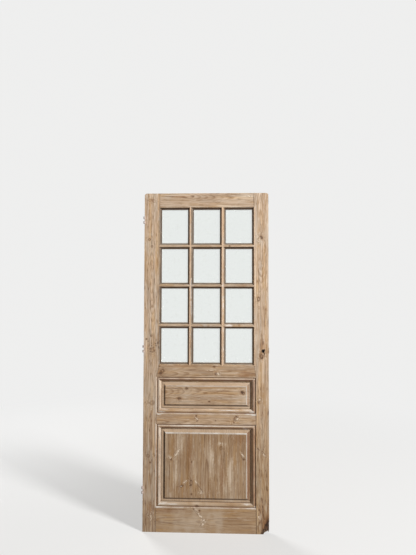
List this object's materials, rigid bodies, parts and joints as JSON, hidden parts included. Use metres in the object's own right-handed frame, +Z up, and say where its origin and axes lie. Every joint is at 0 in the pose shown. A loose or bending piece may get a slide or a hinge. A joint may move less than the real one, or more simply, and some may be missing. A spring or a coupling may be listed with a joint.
{
  "type": "glazed panelled door leaf",
  "caption": "Stripped pine door leaf: a glazed upper part with moulded glazing bars over raised and fielded panels, with hinge leaves and a mortise lock.",
  "frame": {"origin": "the foot of the hinge edge, at the middle of the leaf's thickness", "axes": "+X from the hinge edge to the lock edge, +Y from the moulded front to the back, +Z up"},
  "size_m": [0.8231, 0.0452, 2.1907],
  "materials": {
    "stripped_pine": "stripped, unvarnished, with paint residue",
    "window_glass": "clear",
    "putty": "dry, matte",
    "hinge_iron": "old paint, chipped",
    "lock_iron": "dull, worn"
  },
  "bodies": {
    "root": {"hinge_stile": "stripped_pine", "lock_stile": "stripped_pine", "bottom_rail": "stripped_pine", "middle_rail": "stripped_pine", "glazing_rail": "stripped_pine", "top_rail": "stripped_pine", "lower_panel": "stripped_pine", "upper_panel": "stripped_pine", "glazing_bar_hinge_side": "stripped_pine", "glazing_bar_lock_side": "stripped_pine", "cross_bar_1_1": "stripped_pine", "cross_bar_1_2": "stripped_pine", "cross_bar_1_3": "stripped_pine", "cross_bar_2_1": "stripped_pine", "cross_bar_2_2": "stripped_pine", "cross_bar_2_3": "stripped_pine", "cross_bar_3_1": "stripped_pine", "cross_bar_3_2": "stripped_pine", "cross_bar_3_3": "stripped_pine", "pane_1_1": "window_glass", "pane_1_2": "window_glass", "pane_1_3": "window_glass", "pane_1_4": "window_glass", "pane_2_1": "window_glass", "pane_2_2": "window_glass", "pane_2_3": "window_glass", "pane_2_4": "window_glass", "pane_3_1": "window_glass", "pane_3_2": "window_glass", "pane_3_3": "window_glass", "pane_3_4": "window_glass", "putty": "putty", "hinge_leaf_bottom": "hinge_iron", "hinge_leaf_middle": "hinge_iron", "hinge_leaf_top": "hinge_iron", "lock_case": "lock_iron", "lock_faceplate": "lock_iron", "lock_bolt": "lock_iron"}
  },
  "joints": []
}
